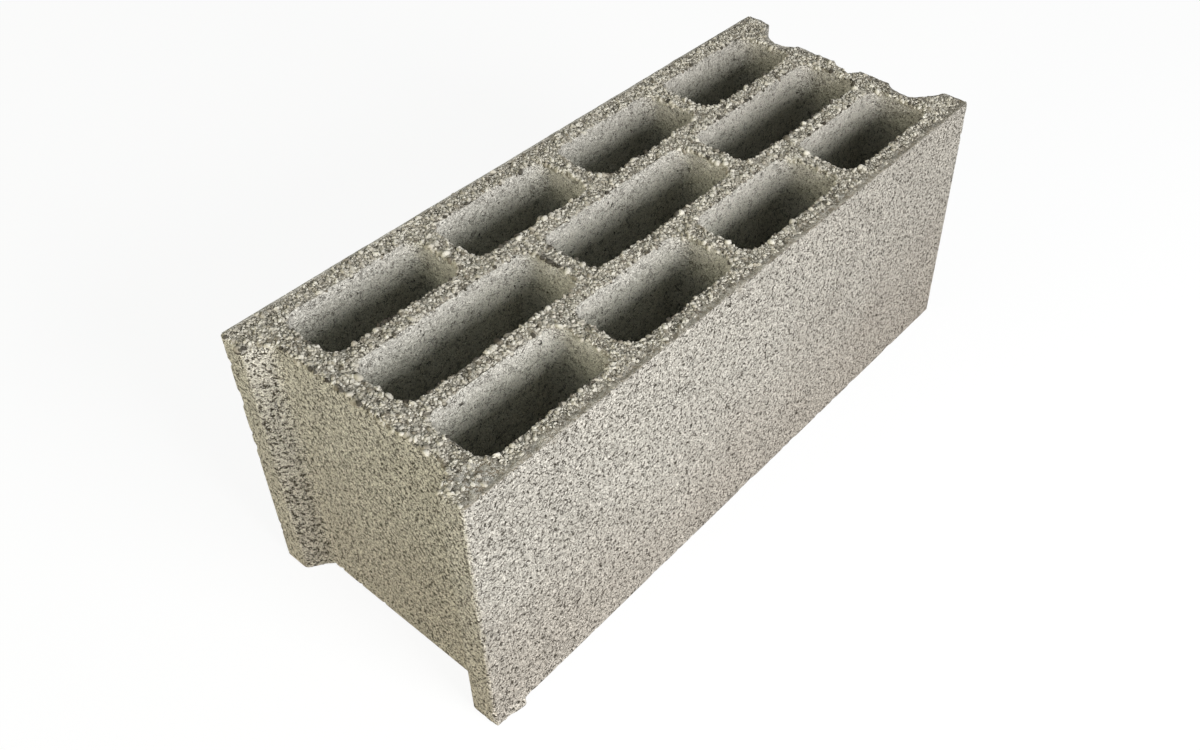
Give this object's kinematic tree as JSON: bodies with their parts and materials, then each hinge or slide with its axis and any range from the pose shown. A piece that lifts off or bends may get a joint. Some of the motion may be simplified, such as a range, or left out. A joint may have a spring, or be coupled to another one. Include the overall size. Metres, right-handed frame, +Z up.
{
  "type": "hollow concrete block",
  "caption": "Hollow concrete masonry block with rows of blind tapered cells open at the top and a mortar pocket between two lips in each end.",
  "frame": {"origin": "middle of the closed bed face that the block stands on", "axes": "+X along the length towards the grooved end, +Y across the width, +Z up towards the open face"},
  "size_m": [0.5, 0.2, 0.2],
  "materials": {
    "concrete": "rough, open-grained pressed concrete"
  },
  "bodies": {
    "root": {"concrete_block": "concrete"}
  },
  "joints": []
}
